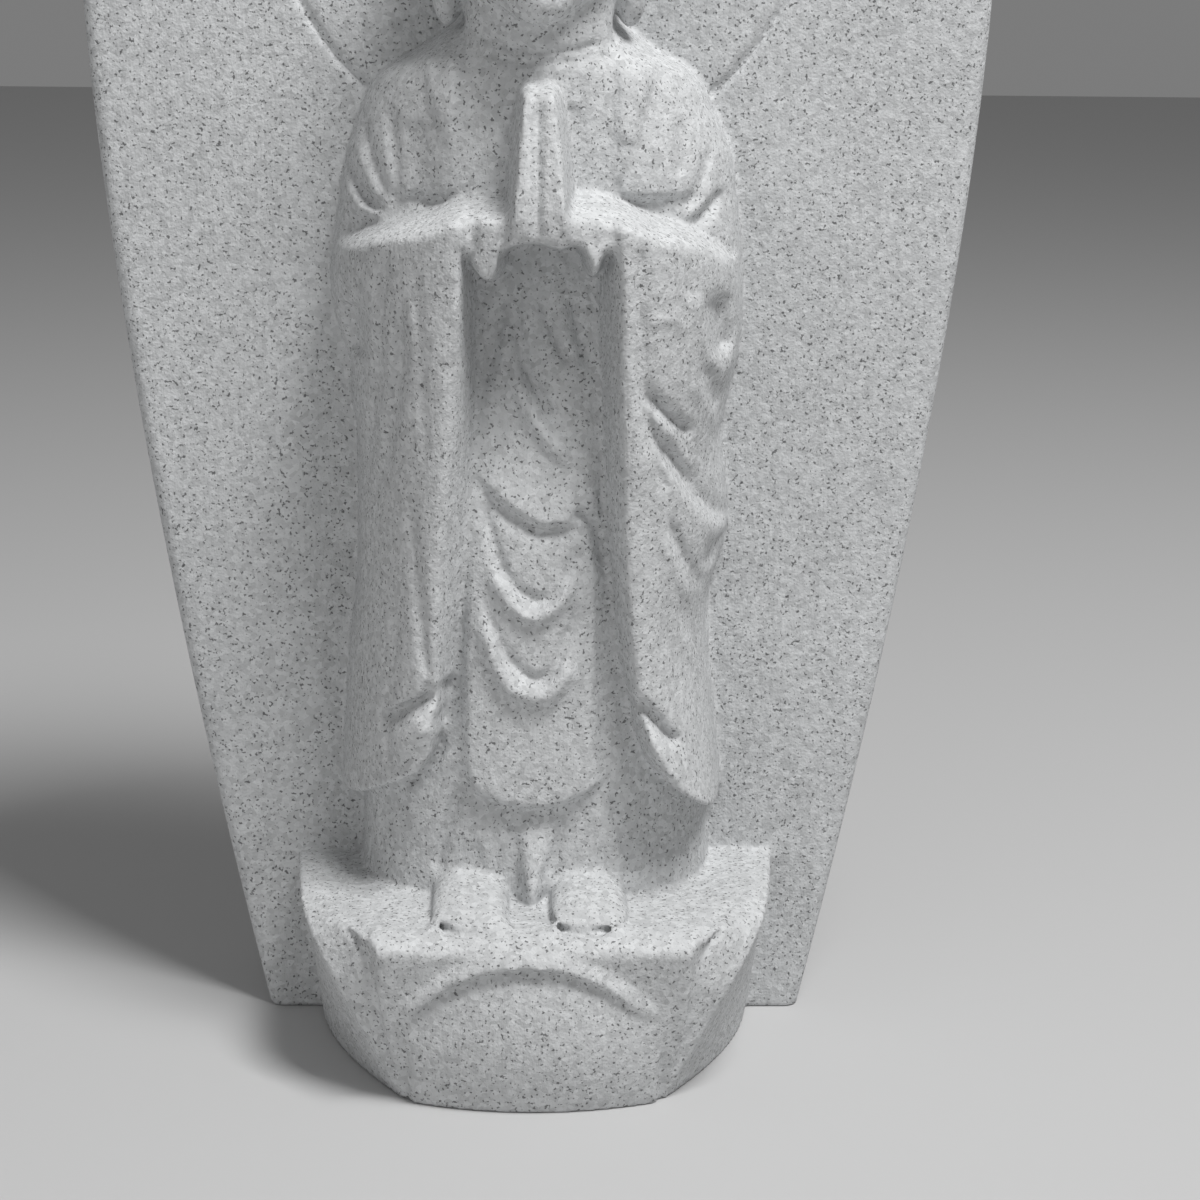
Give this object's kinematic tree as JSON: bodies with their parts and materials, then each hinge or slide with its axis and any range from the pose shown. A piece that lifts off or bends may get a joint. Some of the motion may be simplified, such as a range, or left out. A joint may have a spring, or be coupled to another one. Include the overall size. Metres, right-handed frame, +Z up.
{
  "type": "stone jizo statue",
  "caption": "Standing jizo with joined hands, carved in relief with its boat-shaped back slab and low lotus base out of one block of granite.",
  "frame": {"origin": "centre of the underside's bounding rectangle, on the ground", "axes": "+Z up, +X to the viewer's right, front of the figure towards -Y"},
  "size_m": [0.3382, 0.182, 0.606],
  "materials": {
    "granite": "fine-tooled light grey granite with small dark grains, matt"
  },
  "bodies": {
    "root": {"jizo_stele": "granite"}
  },
  "joints": []
}
